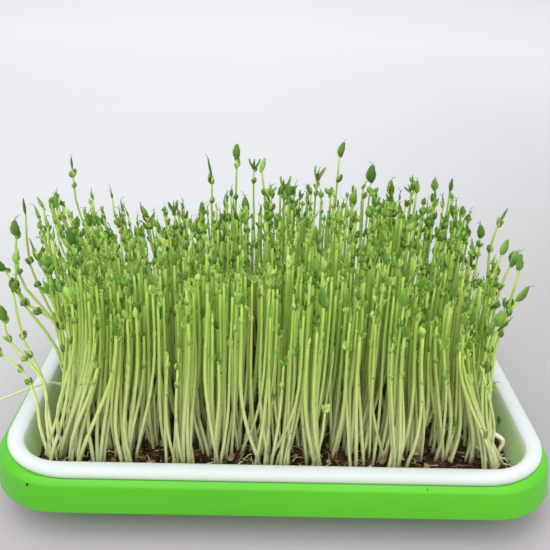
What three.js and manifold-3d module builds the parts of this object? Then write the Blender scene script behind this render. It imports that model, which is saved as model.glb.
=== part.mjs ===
// Microgreens tray: pea shoots growing in coir, in a white sieve tray that hangs by its lip
// in a green water tray. Millimetres, +Z up. The origin is the middle of the underside, on
// the surface that the tray stands on. +X runs along the long side and +Y to the back.

import * as THREE from 'three';
import { mergeVertices } from 'three/addons/utils/BufferGeometryUtils.js';
import ManifoldModule from 'manifold-3d';

const wasm = await ManifoldModule();
wasm.setup();

// ---------------------------------------------------------------- driving dimensions

const trayLength = 330;          // over the green skirt, along X
const trayDepth = 245;           // over the green skirt, along Y
const cornerRadius = 41.5;       // of the green skirt, in plan
const cornerSteps = 6;           // flats in each rounded corner
const greenTop = 41.7;           // height of the green rim's flat
const skirtDrop = 19.7;          // how far the green skirt hangs below that flat
const wall = 2;                  // green wall thickness
const lipTop = 45;               // height of the white lip, the top of the tray
const lipCornerRadius = 47.5;    // the lip's outer edge has rounder corners than the green rim
const lipTuck = 1.2;             // and stands this much further in at the two ends
const gap = 0.3;                 // between pieces that rest on or in each other

const slotWidth = 5;             // the sieve's slots, along X
const slotLength = 46;           // and along Y
const slotColumns = 11;
const slotRows = 3;
const slotPitchX = 22.5;
const slotPitchY = 54;

const soilTop = 30;
const clumpColumns = 9;
const clumpRows = 4;
const clumpPitchX = 30.5;
const clumpPitchY = 51.3;
const plugRadius = 12.5;         // the matted roots that hold one clump together
const plugDepth = 10;
const plugProud = 0.5;           // how far the roots swell out of the soil
const clumpWander = 0.8;         // how far a clump stands off its place in the grid

const rowsInClump = 3;           // shoots in one clump, front to back
const columnsInClump = 2;        // and left to right
const baseSpread = new THREE.Vector2(4, 6.6);       // shoot to clump middle, at the soil
const topSpread = new THREE.Vector2(7.6, 17.1);     // and once the clump has fanned out
const shootWander = 1.2;         // how far a shoot stands off its place in the fan
const fanHeight = 80;            // height over which a clump fans out
const leanHeight = [12, 98];     // heights between which the outer shoots lean over
const leanPlace = 130;           // how far out the leans below are measured
const leftLean = [-36, 92];      // how far they lean out, for the tray's front and back edges
const rightLean = [-38, 80];     // a negative lean is inwards
const mostLean = [35, 5];        // the lean grows towards the back up to this, left and right
const frontBackLean = 0.06;      // how far they lean to the front and back, as a part of their place
const shootHeight = [97, 127];   // soil to the foot of the top bud, in the front row
const backDrop = 27;             // how much shorter the back row stands than the front one
const backRise = 20;             // less so towards its right end
const riseStart = -60;           // from this place along X
const dipDrop = 10;              // and more so in a dip
const dipMiddle = -80;           // round this place along X
const dipReach = 45;             // as far as this to each side
const rightDrop = 34;            // how much shorter the front right corner stands than the front row
const tallTips = {               // the back row's tallest shoots, by their number from the left
  0: [-160, 119],                // place along X, and height
  5: [-52, 116],
  7: [-31, 131],
  8: [-18, 124],
  9: [5, 108],
  10: [29, 117],
  11: [45, 135],
  13: [71, 115],
  14: [88, 106],
  15: [103, 108],
  16: [122, 111],
};

const stemRadius = [1.75, 1.5, 1.15, 0.9];    // at the soil, below the middle, at the leaves, at the bud
const stemMiddle = 0.4;                       // the second of these, as a part of the way to the leaves
const rootedDepth = 5;                        // how deep a stem goes into its plug
const rootTuck = 0.1;                         // how far it leans back below the soil
const leafNode = 0.87;                        // where the leaves grow, as a part of the height
const nodeLength = 3;
const leafLength = [6.5, 9];
const leafHalfWidth = [2.1, 2.9];
const leafThickness = 0.8;
const leafReach = 0.55;                       // sideways share of a leaf's length
const budLength = [9, 13];
const budHalfWidth = 3;
const budHalfThickness = 1.7;
const budWidest = 0.42;                       // where it is widest, as a part of its length

const paleClump = 'shoots_2_1';   // one thin pale shoot without a bud lies out over the left rim
const paleRadius = [1.3, 1.3, 1.25, 1.15, 1.05, 0.9, 0.7];
const palePath = [
  [-130.3, -29, 25], [-131, -29.3, 31], [-136, -31, 41], [-145, -38, 49],
  [-154, -46, 51.5], [-165, -54, 50.5], [-176, -63, 50],
];
const loneRadius = [1.5, 0.9];   // of the shoots that stand apart, at the foot and at the bud
const loneBud = [[4, 2.8], [11, 0.4]];        // how far along from its foot, and its radius there
const lonePaths = {              // by the clump that they grow from
  shoots_1_1: [
    [
      [-129, -82, 25], [-130, -83, 31], [-137, -84, 46],
      [-141, -80, 66], [-149, -73, 80], [-162, -68, 88],
    ],
    [
      [-128, -84, 25], [-129, -84.6, 31], [-135, -81, 56],
      [-137, -75, 76], [-156, -67, 96], [-159, -65, 110],
    ],
  ],
  shoots_2_1: [
    [
      [-128, -31, 25], [-129, -32, 31], [-135, -42, 68],
      [-137, -44, 98], [-152, -41, 107], [-164, -40, 130],
    ],
    [
      [-129, -26, 25], [-130, -26, 31], [-141, -27, 84],
      [-160, -21, 108], [-164, -20, 126], [-162, -20, 144],
    ],
    [
      [-128, -22, 25], [-129, -22, 31], [-145, -12, 73],
      [-151, -9, 88], [-161, -6, 118], [-160, -5, 152],
    ],
  ],
  shoots_1_9: [
    [
      [129, -71, 25], [130, -71, 31], [127, -62, 74],
      [126, -57, 106], [128, -53, 131], [132, -52, 147],
    ],
    [
      [130, -79, 25], [131, -79, 31], [127, -72, 67],
      [127, -67, 100], [131, -63, 124], [135, -60, 148],
    ],
  ],
  shoots_2_9: [
    [
      [129, -28, 25], [130, -28.5, 31], [131, -34, 79],
      [130, -31, 110], [127, -28, 144], [130, -27, 163],
    ],
  ],
};

// ---------------------------------------------------------------- materials

const greenPlastic = new THREE.MeshStandardMaterial({ color: 0x62bc2f, roughness: 0.45, metalness: 0 });
const whitePlastic = new THREE.MeshStandardMaterial({ color: 0xf1f4f2, roughness: 0.35, metalness: 0 });
const coir = new THREE.MeshStandardMaterial({ color: 0x3f271a, roughness: 1, metalness: 0 });
const shootGreen = new THREE.MeshStandardMaterial({ color: 0x86b04e, roughness: 0.6, metalness: 0 });

// ---------------------------------------------------------------- solids

let seed = 20481;

function draw(low, high) {
  seed = (seed * 16807) % 2147483647;
  return low + (high - low) * seed / 2147483647;
}

function toGeometry(points, faces) {
  const geometry = new THREE.BufferGeometry();
  const positions = points.flatMap((point) => [point.x, point.y, point.z]);
  geometry.setAttribute('position', new THREE.Float32BufferAttribute(positions, 3));
  geometry.setIndex(faces.flat());
  geometry.computeVertexNormals();
  return geometry;
}

function toSolid(geometry) {
  const bare = geometry.clone();
  bare.deleteAttribute('normal');
  bare.deleteAttribute('uv');
  const merged = mergeVertices(bare);
  return new wasm.Manifold(new wasm.Mesh({
    numProp: 3,
    vertProperties: new Float32Array(merged.attributes.position.array),
    triVerts: new Uint32Array(merged.index.array),
  }));
}

function fromSolid(solid) {
  const mesh = solid.getMesh();
  const geometry = new THREE.BufferGeometry();
  geometry.setAttribute('position', new THREE.BufferAttribute(mesh.vertProperties, 3));
  geometry.setIndex(new THREE.BufferAttribute(mesh.triVerts, 1));
  geometry.computeVertexNormals();
  return geometry;
}

function cutAll(solid, cutters) {
  return cutters.reduce((left, cutter) => left.subtract(cutter), solid);
}

function joinAll(solids) {
  return solids.reduce((joined, solid) => joined.add(solid));
}

// Quads between two rings of equal count, the second one further along.
function bridge(faces, first, second, count) {
  for (let i = 0; i < count; i += 1) {
    const next = (i + 1) % count;
    faces.push([first + i, first + next, second + next]);
    faces.push([first + i, second + next, second + i]);
  }
}

// A closed skin over rings of equal count, with a flat cap on the first and the last.
function loft(rings) {
  const count = rings[0].length;
  const last = (rings.length - 1) * count;
  const faces = [];
  for (let i = 0; i < rings.length - 1; i += 1) {
    bridge(faces, i * count, (i + 1) * count, count);
  }
  for (let i = 1; i < count - 1; i += 1) {
    faces.push([0, i + 1, i]);
    faces.push([last, last + i, last + i + 1]);
  }
  return toGeometry(rings.flat(), faces);
}

// ---------------------------------------------------------------- trays and soil

// A rounded rectangle at one height, at one distance from the middle along X. They share
// their corner centres, so walls keep their thickness round the corners, except for the
// outer edge of the white lip, which is marked by its tuck.
function trayRing([halfLength, height, tuck = 0]) {
  const inset = trayLength / 2 - halfLength;
  const outerRadius = tuck ? lipCornerRadius : cornerRadius;
  const radius = outerRadius - inset;
  const cornerX = trayLength / 2 - outerRadius - tuck;
  const cornerY = trayDepth / 2 - outerRadius;
  const corners = [[1, 1], [-1, 1], [-1, -1], [1, -1]];
  return corners.flatMap(([signX, signY], quarter) => {
    const arc = [];
    for (let step = 0; step <= cornerSteps; step += 1) {
      const angle = (quarter + step / cornerSteps) * Math.PI / 2;
      const x = signX * cornerX + radius * Math.cos(angle);
      const y = signY * cornerY + radius * Math.sin(angle);
      arc.push(new THREE.Vector3(x, y, height));
    }
    return arc;
  });
}

// Sections run from the middle of the underside, out and up, over the rim and down inside.
function waterTray() {
  const half = trayLength / 2;
  const skirtFoot = greenTop - skirtDrop;
  const section = [
    [half - 28.5, 0],
    [half - 26, 2.5],
    [half - 10.4, greenTop - wall],
    [half - 4.8, greenTop - wall],
    [half - 2.7, greenTop - 4],
    [half - wall, skirtFoot],
    [half, skirtFoot],
    [half - 0.7, greenTop - 3.2],
    [half - 4, greenTop],
    [half - 11.5, greenTop],
    [half - 27.4, 4],
    [half - 29.4, wall],
  ];
  return loft(section.map(trayRing));
}

function sieveTray() {
  const half = trayLength / 2;
  const seat = greenTop + gap;
  const floorTop = 12;
  const floorUnder = 10;
  const section = [
    [half - 29, floorUnder],
    [half - 26, 13],
    [half - 20.2, 28],
    [half - 14.6, seat],
    [half - 3.7, seat, lipTuck],
    [half - 3.5, lipTop - 2.1, lipTuck],
    [half - 4.5, lipTop - 1.2, lipTuck],
    [half - 6, lipTop - 0.5, lipTuck],
    [half - 7.6, lipTop, lipTuck],
    [half - 12.8, lipTop],
    [half - 15.4, lipTop - 0.8],
    [half - 16.5, lipTop - 2.6],
    [half - 21.8, 28],
    [half - 27.8, 14],
    [half - 29.8, floorTop],
  ];
  const slots = [];
  for (let column = 0; column < slotColumns; column += 1) {
    for (let row = 0; row < slotRows; row += 1) {
      const slot = new THREE.BoxGeometry(slotWidth, slotLength, 3 * (floorTop - floorUnder));
      const x = (column - (slotColumns - 1) / 2) * slotPitchX;
      const y = (row - (slotRows - 1) / 2) * slotPitchY;
      slot.translate(x, y, (floorTop + floorUnder) / 2);
      slots.push(toSolid(slot));
    }
  }
  return fromSolid(cutAll(toSolid(loft(section.map(trayRing))), slots));
}

function soilBed(clumps) {
  const half = trayLength / 2;
  const section = [
    [half - 30.1, 12 + gap],
    [half - 28.2, 14.2],
    [half - 22.2, 27.9],
    [half - 22, soilTop - 1.2],
    [half - 25, soilTop],
  ];
  const holes = clumps.map((clump) => {
    const depth = plugDepth + gap;
    return toSolid(rootPlug(clump, plugRadius + gap + 0.1, soilTop - depth, soilTop + depth));
  });
  return fromSolid(cutAll(toSolid(loft(section.map(trayRing))), holes));
}

// ---------------------------------------------------------------- shoots

// How far a clump has fanned out at a height above the soil, from 0 to 1.
function fanned(height) {
  const rise = Math.min(height / fanHeight, 1);
  return rise * (2 - rise);
}

// Shoots stand up straight from the soil, lean over halfway up and straighten again. The
// canopy leans out over the rim at the back, most of all on the left, and in at the front.
function leaned(x, y, height) {
  const [from, to] = leanHeight;
  const rise = THREE.MathUtils.clamp((height - from) / (to - from), 0, 1);
  const share = rise * rise * (3 - 2 * rise);
  const [front, back] = x < 0 ? leftLean : rightLean;
  const most = x < 0 ? mostLean[0] : mostLean[1];
  const lean = Math.min(THREE.MathUtils.lerp(front, back, y / trayDepth + 0.5), most);
  const side = x / leanPlace;
  const outX = lean * side * Math.abs(side);
  const outY = frontBackLean * y;
  return new THREE.Vector3(x + share * outX, y + share * outY, soilTop + height);
}

function stemPoint(shoot, height) {
  const share = fanned(height);
  const x = shoot.base.x + share * (shoot.top.x - shoot.base.x);
  const y = shoot.base.y + share * (shoot.top.y - shoot.base.y);
  return leaned(x, y, height);
}

// How much shorter a shoot stays than the tallest ones of the front row.
function shortened(x, y) {
  const depth = y / trayDepth + 0.5;
  const side = Math.max(x / leanPlace, 0);
  const rise = Math.max((x - riseStart) / (leanPlace - riseStart), 0);
  const dip = Math.max(1 - ((x - dipMiddle) / dipReach) ** 2, 0);
  const back = backDrop - backRise * rise + dipDrop * dip;
  return back * depth + rightDrop * (1 - depth) * side ** 3;
}

function planShoot(middle, column, row, tip) {
  const sideX = column - (columnsInClump - 1) / 2;
  const sideY = row - (rowsInClump - 1) / 2;
  const base = new THREE.Vector2(
    middle.x + 2 * sideX * baseSpread.x,
    middle.y + sideY * baseSpread.y,
  );
  const top = new THREE.Vector2(
    middle.x + 2 * sideX * topSpread.x + draw(-shootWander, shootWander),
    middle.y + sideY * topSpread.y + draw(-shootWander, shootWander),
  );
  const usual = draw(shootHeight[0], shootHeight[1]) - shortened(top.x, top.y);
  top.x += tip ? tip[0] - leaned(top.x, top.y, leanHeight[1]).x : 0;
  return {
    base,
    top,
    height: tip ? tip[1] : usual,
    turn: draw(0, 2 * Math.PI),
    leaf: draw(leafLength[0], leafLength[1]),
    leafHalf: draw(leafHalfWidth[0], leafHalfWidth[1]),
    bud: draw(budLength[0], budLength[1]),
  };
}

function planClump(column, row) {
  const middle = new THREE.Vector2(
    (column - (clumpColumns - 1) / 2) * clumpPitchX + draw(-clumpWander, clumpWander),
    (row - (clumpRows - 1) / 2) * clumpPitchY + draw(-clumpWander, clumpWander),
  );
  const shoots = [];
  for (let shootRow = 0; shootRow < rowsInClump; shootRow += 1) {
    for (let shootColumn = 0; shootColumn < columnsInClump; shootColumn += 1) {
      const isBack = row === clumpRows - 1 && shootRow === rowsInClump - 1;
      const tip = isBack ? tallTips[column * columnsInClump + shootColumn] : undefined;
      shoots.push(planShoot(middle, shootColumn, shootRow, tip));
    }
  }
  return { name: `shoots_${row + 1}_${column + 1}`, middle, turn: draw(0, Math.PI), shoots };
}

function rootPlug(clump, radius, bottom, top) {
  const plug = new THREE.CylinderGeometry(radius, radius, top - bottom, 6);
  plug.rotateX(Math.PI / 2);
  plug.rotateZ(clump.turn);
  plug.translate(clump.middle.x, clump.middle.y, (bottom + top) / 2);
  return plug;
}

// Three corners round a point, level, turned and stretched along one way.
function stemRing(middle, turn, radius, across = radius) {
  const ring = [];
  for (let corner = 0; corner < 3; corner += 1) {
    const angle = corner * 2 * Math.PI / 3;
    const local = new THREE.Vector2(radius * Math.cos(angle), across * Math.sin(angle));
    local.rotateAround(new THREE.Vector2(), turn);
    ring.push(new THREE.Vector3(middle.x + local.x, middle.y + local.y, middle.z));
  }
  return ring;
}

// A pointed leaf drawn out of one face of the stem between two rings.
function growLeaf(points, faces, lower, upper, corner, shoot) {
  const next = (corner + 1) % 3;
  const foot = [lower + corner, lower + next, upper + next, upper + corner];
  const root = new THREE.Vector3();
  foot.forEach((index) => root.addScaledVector(points[index], 1 / foot.length));
  const across = points[foot[1]].clone().sub(points[foot[0]]).setZ(0).normalize();
  const outward = new THREE.Vector3(across.y, -across.x, 0);
  const rise = Math.sqrt(1 - leafReach * leafReach);
  const along = outward.clone().multiplyScalar(leafReach).setZ(rise);
  const face = along.clone().cross(across).normalize();
  const middle = root.clone().addScaledVector(along, 0.5 * shoot.leaf);
  const start = points.length;
  const sides = [[-1, -1], [1, -1], [1, 1], [-1, 1]];
  sides.forEach(([side, skin]) => {
    const edge = middle.clone().addScaledVector(across, side * shoot.leafHalf);
    points.push(edge.addScaledVector(face, skin * leafThickness / 2));
  });
  points.push(root.clone().addScaledVector(along, shoot.leaf));
  for (let i = 0; i < 4; i += 1) {
    const after = (i + 1) % 4;
    faces.push([foot[i], foot[after], start + after]);
    faces.push([foot[i], start + after, start + i]);
    faces.push([start + i, start + after, start + 4]);
  }
}

// One shoot: a stem that thins upwards, two leaves near the top and a folded bud on it.
function growShoot(shoot) {
  const node = leafNode * shoot.height;
  const budFoot = stemPoint(shoot, shoot.height);
  const budWide = budFoot.clone().setZ(budFoot.z + budWidest * shoot.bud);
  const budTip = budFoot.clone().setZ(budFoot.z + shoot.bud);
  const halfway = stemPoint(shoot, stemMiddle * node);
  const root = stemPoint(shoot, 0);
  root.lerp(halfway, -rootTuck).setZ(soilTop - rootedDepth);
  const rings = [
    stemRing(root, shoot.turn, stemRadius[0]),
    stemRing(halfway, shoot.turn, stemRadius[1]),
    stemRing(stemPoint(shoot, node), shoot.turn, stemRadius[2]),
    stemRing(stemPoint(shoot, node + nodeLength), shoot.turn, stemRadius[2]),
    stemRing(budFoot, shoot.turn, stemRadius[3]),
    stemRing(budWide, shoot.turn, budHalfThickness, budHalfWidth),
  ];
  const points = rings.flat();
  const faces = [[0, 2, 1]];
  for (let i = 0; i < rings.length - 1; i += 1) {
    if (i !== 2) {
      bridge(faces, 3 * i, 3 * i + 3, 3);
    }
  }
  faces.push([6, 7, 10], [6, 10, 9]);
  growLeaf(points, faces, 6, 9, 1, shoot);
  growLeaf(points, faces, 6, 9, 2, shoot);
  const wide = 3 * (rings.length - 1);
  const tip = points.push(budTip) - 1;
  for (let i = 0; i < 3; i += 1) {
    faces.push([wide + i, wide + (i + 1) % 3, tip]);
  }
  return toGeometry(points, faces);
}

// Three corners round each point of a path, square to it, joined into one thin shoot.
function growAlong(points, radii) {
  const rings = points.map((point, i) => {
    const before = points[Math.max(i - 1, 0)];
    const after = points[Math.min(i + 1, points.length - 1)];
    const along = after.clone().sub(before).normalize();
    const side = along.clone().cross(new THREE.Vector3(0.3, 1, 0)).normalize();
    const up = side.clone().cross(along);
    return [0, 1, 2].map((corner) => {
      const angle = corner * 2 * Math.PI / 3;
      const edge = point.clone().addScaledVector(side, radii[i] * Math.cos(angle));
      return edge.addScaledVector(up, radii[i] * Math.sin(angle));
    });
  });
  return loft(rings.map((ring) => ring.reverse()));
}

// A shoot that stands apart, along its own path, with a bud on its end.
function growLone(path) {
  const points = path.map((place) => new THREE.Vector3(...place));
  const last = points.length - 1;
  const radii = points.map((point, i) => THREE.MathUtils.lerp(...loneRadius, i / last));
  const end = points[last];
  const along = end.clone().sub(points[last - 1]).normalize();
  loneBud.forEach(([reach, radius]) => {
    points.push(end.clone().addScaledVector(along, reach));
    radii.push(radius);
  });
  return growAlong(points, radii);
}

function growClump(clump) {
  const plug = rootPlug(clump, plugRadius, soilTop - plugDepth, soilTop + plugProud);
  const shoots = clump.shoots.map((shoot) => growShoot(shoot));
  const lone = (lonePaths[clump.name] ?? []).map((path) => growLone(path));
  if (clump.name === paleClump) {
    lone.push(growAlong(palePath.map((place) => new THREE.Vector3(...place)), paleRadius));
  }
  return fromSolid(joinAll([plug, ...shoots, ...lone].map(toSolid)));
}

// ---------------------------------------------------------------- assembly

const tray = new THREE.Group();

function addPiece(name, geometry, material) {
  const mesh = new THREE.Mesh(geometry, material);
  mesh.name = name;
  tray.add(mesh);
}

const clumps = [];
for (let row = 0; row < clumpRows; row += 1) {
  for (let column = 0; column < clumpColumns; column += 1) {
    clumps.push(planClump(column, row));
  }
}

addPiece('water_tray', waterTray(), greenPlastic);
addPiece('sieve_tray', sieveTray(), whitePlastic);
addPiece('soil', soilBed(clumps), coir);
clumps.forEach((clump) => addPiece(clump.name, growClump(clump), shootGreen));

export default tray;
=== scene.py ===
# A microgreens tray: pea shoots growing in coir, in a white sieve tray that hangs by its lip
# in a green water tray. Metres, +Z up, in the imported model's frame. Plans are in millimetres.

import math

import bpy
import numpy as np
from mathutils import Matrix, Vector


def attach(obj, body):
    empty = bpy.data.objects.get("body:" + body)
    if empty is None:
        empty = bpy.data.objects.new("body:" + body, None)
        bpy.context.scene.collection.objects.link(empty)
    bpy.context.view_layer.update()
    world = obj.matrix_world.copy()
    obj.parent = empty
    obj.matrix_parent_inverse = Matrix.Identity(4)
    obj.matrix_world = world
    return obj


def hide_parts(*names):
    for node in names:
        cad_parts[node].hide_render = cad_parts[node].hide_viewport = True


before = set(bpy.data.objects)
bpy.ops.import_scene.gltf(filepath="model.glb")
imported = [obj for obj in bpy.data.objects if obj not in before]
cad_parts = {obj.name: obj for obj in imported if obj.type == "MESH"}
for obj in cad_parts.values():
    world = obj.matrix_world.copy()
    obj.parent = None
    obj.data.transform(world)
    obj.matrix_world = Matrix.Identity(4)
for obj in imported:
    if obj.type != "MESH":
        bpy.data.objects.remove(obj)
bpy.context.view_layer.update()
mm = 0.001
anyWay = (0, 6.3)  # the range of a random level heading, in radians
drawRule = (16807, 2147483647)  # multiplier and modulus of the random draws
roundedFrom = math.radians(20)  # edges that turn more than this are rounded
smoothUpTo = math.radians(35)


# Small tools used by every piece

def makeDraw(seed):  # a seeded random draw between two numbers, the same on every run
    state = [seed]
    multiplier, modulus = drawRule

    def draw(low, high):
        state[0] = state[0] * multiplier % modulus
        return low + (high - low) * state[0] / modulus

    return draw


def setMode(mode):
    bpy.ops.object.mode_set(mode=mode)


def selectAll():
    bpy.ops.mesh.select_all(action="SELECT")


def editAll():
    setMode("EDIT")
    selectAll()


def scaleBy(size, centre=(0, 0, 0)):
    bpy.ops.transform.resize(value=size, center_override=centre)


def letGo():  # nothing selected, object mode
    if bpy.context.object and bpy.context.object.mode != "OBJECT":
        setMode("OBJECT")
    bpy.ops.object.select_all(action="DESELECT")


def activate(piece):
    letGo()
    piece.select_set(True)
    bpy.context.view_layer.objects.active = piece


def newShape(addShape, location=(0, 0, 0), **settings):  # one of Blender's own shapes, to be worked on
    letGo()
    addShape(location=location, **settings)
    return bpy.context.object


def closeShape():  # faces outwards, and back to object mode
    selectAll()
    bpy.ops.mesh.normals_make_consistent(inside=False)
    setMode("OBJECT")


def pickVertices(piece, wanted):  # selects by place, in edit mode
    setMode("OBJECT")
    for kind in (piece.data.vertices, piece.data.edges, piece.data.polygons):
        kind.foreach_set("select", [False] * len(kind))
    for vertex in piece.data.vertices:
        vertex.select = wanted(vertex.co)
    setMode("EDIT")
    bpy.ops.mesh.select_mode(type="VERT")


def applyModifier(piece, kind, **settings):
    activate(piece)
    modifier = piece.modifiers.new(kind.lower(), kind)
    for name, value in settings.items():
        setattr(modifier, name, value)
    bpy.ops.object.modifier_apply(modifier=modifier.name)


def roundEdges(piece, width, segments):
    applyModifier(piece, "BEVEL", width=width * mm, segments=segments, limit_method="ANGLE", angle_limit=roundedFrom)


def cutWith(piece, other, operation):
    applyModifier(piece, "BOOLEAN", object=other, operation=operation, solver="EXACT")
    bpy.data.objects.remove(other)


def smoothByAngle(piece):
    activate(piece)
    bpy.ops.object.shade_smooth_by_angle(angle=smoothUpTo)


def finishPiece(piece, nodes, materials):
    for material in materials:
        piece.data.materials.append(material)
    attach(piece, "root")
    if nodes:
        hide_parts(*nodes)


# Materials

def linear(hexColour):  # sRGB hex to linear RGBA
    channels = [int(hexColour[i:i + 2], 16) / 255 for i in (0, 2, 4)]
    flat = [c / 12.92 if c <= 0.04045 else ((c + 0.055) / 1.055) ** 2.4 for c in channels]
    return (*flat, 1.0)


def newMaterial(name):  # with the place on the piece that its patterns read
    material = bpy.data.materials.new(name)
    material.use_nodes = True
    return material, addNode(material, "TexCoord", output="Object")


def fillInputs(material, node, inputs):
    # by name, or as a list in the sockets' own order; another node's output is linked, any other value is set
    for name, value in inputs.items() if isinstance(inputs, dict) else enumerate(inputs):
        if isinstance(value, bpy.types.NodeSocket):
            material.node_tree.links.new(value, node.inputs[name])
        else:
            node.inputs[name].default_value = value


def fillShader(material, inputs):
    fillInputs(material, material.node_tree.nodes["Principled BSDF"], inputs)
    return material


def addNode(material, kind, inputs=(), output=0, stops=(), **settings):  # gives the output that is used
    node = material.node_tree.nodes.new("ShaderNode" + kind)
    for name, value in settings.items():
        setattr(node, name, value)
    fillInputs(material, node, inputs)
    if stops:  # a colour ramp's places and colours
        ramp = node.color_ramp
        while len(ramp.elements) < len(stops):
            ramp.elements.new(0.5)
        for element, (place, colour) in zip(ramp.elements, stops):
            element.position = place
            element.color = linear(colour)
    return node.outputs[output]


def mouldedPlastic(name, look):
    # Injection moulded polypropylene: an even colour, satin, with a faint orange peel
    # and fine handling scratches; light goes a short way into it.
    material, place = newMaterial(name)
    cloud = addNode(material, "TexNoise", {"Vector": place, "Scale": 9.0, "Detail": 3.0})
    colour = addNode(material, "ValToRGB", {"Fac": cloud},
                     stops=[(0.3, look["shade"]), (0.7, look["colour"])])
    if "paintedWallShadeAndReflection" in look:  # painted shade with a painted reflection of the green tray: the wall below the lip turns grey green lower down, and the lip's outer edge at the front is shaded too
        height = addNode(material, "SeparateXYZ", {"Vector": place}, "Z")
        low = addNode(material, "MapRange", [height, look["fade"][0] * mm, look["fade"][1] * mm, 1.0, 0.0])
        edge = addNode(material, "Attribute", output="Fac", attribute_name="edge")
        for factor, tone in ((low, look["paintedWallShadeAndReflection"]), (edge, look["paintedEdgeShadeAndReflection"])):
            colour = addNode(material, "Mix", {"Factor": factor, "A": colour, "B": linear(tone)},
                             "Result", data_type="RGBA")
    peel = addNode(material, "TexNoise", {"Vector": place, "Scale": 1 / (2.2 * mm), "Detail": 2.0})
    stretched = addNode(material, "Mapping", {
        "Vector": place, "Scale": (0.06, 1.0, 1.0), "Rotation": (0, 0, 0.3)})
    scratch = addNode(material, "TexNoise", {
        "Vector": stretched, "Scale": 1 / (1.6 * mm), "Detail": 1.0})
    rough = addNode(material, "MapRange", [scratch, 0.35, 0.75, *look["rough"]])
    bump = addNode(material, "Bump", {"Height": peel, "Strength": look["peel"], "Distance": 0.05 * mm})
    return fillShader(material, {
        "Base Color": colour, "Roughness": rough, "Normal": bump, "IOR": 1.49,
        "Subsurface Weight": look["glow"],
        "Subsurface Radius": (1.0, 1.0, 1.0),
        "Subsurface Scale": look["glowDepth"] * mm,
    })


def dampCoir():
    # Damp coir peat: matt, with near black patches at random that are painted shade for its gaps, reddish brown pith
    # and tan fibre ends.
    material, place = newMaterial("dampCoirPeat")
    lump = addNode(material, "TexNoise", {
        "Vector": place, "Scale": 1 / (7 * mm), "Detail": 5.0, "Roughness": 0.7})
    colour = addNode(material, "ValToRGB", {"Fac": lump}, stops=[
        (0.34, "100a07"), (0.44, "291a12"), (0.54, "4a3022"), (0.64, "74523b"), (0.76, "a88a63")])
    grain = addNode(material, "TexNoise", {"Vector": place, "Scale": 1 / (1.3 * mm), "Detail": 4.0})
    rough = addNode(material, "MapRange", [lump, 0.3, 0.6, 0.55, 0.98])
    bump = addNode(material, "Bump", {"Height": grain, "Strength": 0.9, "Distance": 0.8 * mm})
    return fillShader(material, {
        "Base Color": colour, "Roughness": rough, "Normal": bump, "IOR": 1.45, "Specular IOR Level": 0.3})


def dryLitter(name, stops, rough):
    # Seed coats, fibres and root threads: dry and matt, each in its own tone by its tint.
    material, place = newMaterial(name)
    tint = addNode(material, "Attribute", output="Fac", attribute_name="tint")
    grain = addNode(material, "TexNoise", {"Vector": place, "Scale": 1 / (1.0 * mm), "Detail": 3.0})
    mixed = addNode(material, "Math", [grain, 0.4, tint], operation="MULTIPLY_ADD")
    lowered = addNode(material, "Math", [mixed, 0.2], operation="SUBTRACT")
    colour = addNode(material, "ValToRGB", {"Fac": lowered}, stops=stops)
    bump = addNode(material, "Bump", {"Height": grain, "Strength": 0.6, "Distance": 0.2 * mm})
    return fillShader(material, {"Base Color": colour, "Roughness": rough, "Normal": bump, "IOR": 1.45})


def freshStem():
    # Living pea stems: watery, smooth and a little waxy; nearly white where they stood in the
    # dark and greener with height, with faint ribs along them. Light glows through.
    material, place = newMaterial("freshPeaStem")
    growth, tint = [addNode(material, "Attribute", output="Fac", attribute_name=name)
                    for name in ("growth", "tint")]
    cool, warm = [addNode(material, "ValToRGB", {"Fac": growth}, stops=stops) for stops in (
        [(0.0, "e3eabf"), (0.25, "d5e1a1"), (0.55, "c4dc80"), (0.9, "aacb5c")],
        [(0.0, "e6e3b4"), (0.25, "dce09d"), (0.55, "cddb7d"), (0.9, "b4c95c")])]
    toned = addNode(material, "Mix", {"Factor": tint, "A": cool, "B": warm}, "Result", data_type="RGBA")
    ribs = addNode(material, "Mapping", {"Vector": place, "Scale": (1.0, 1.0, 0.05)})
    streak = addNode(material, "TexNoise", {"Vector": ribs, "Scale": 1 / (0.9 * mm), "Detail": 2.0})
    stripes = addNode(material, "ValToRGB", {"Fac": streak}, stops=[(0.3, "b9c59c"), (0.6, "ffffff")])
    shaded = addNode(material, "Mix", {"Factor": 0.38, "A": toned, "B": stripes}, "Result",
                     data_type="RGBA", blend_type="MULTIPLY")
    bump = addNode(material, "Bump", {"Height": streak, "Strength": 0.25, "Distance": 0.15 * mm})
    rough = addNode(material, "MapRange", [streak, 0, 1, 0.34, 0.55])
    return fillShader(material, {
        "Base Color": shaded, "Roughness": rough, "Normal": bump, "IOR": 1.4,
        "Subsurface Weight": 0.5,
        "Subsurface Radius": (0.8, 1.0, 0.4),
        "Subsurface Scale": 1.8 * mm,
    })


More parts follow.
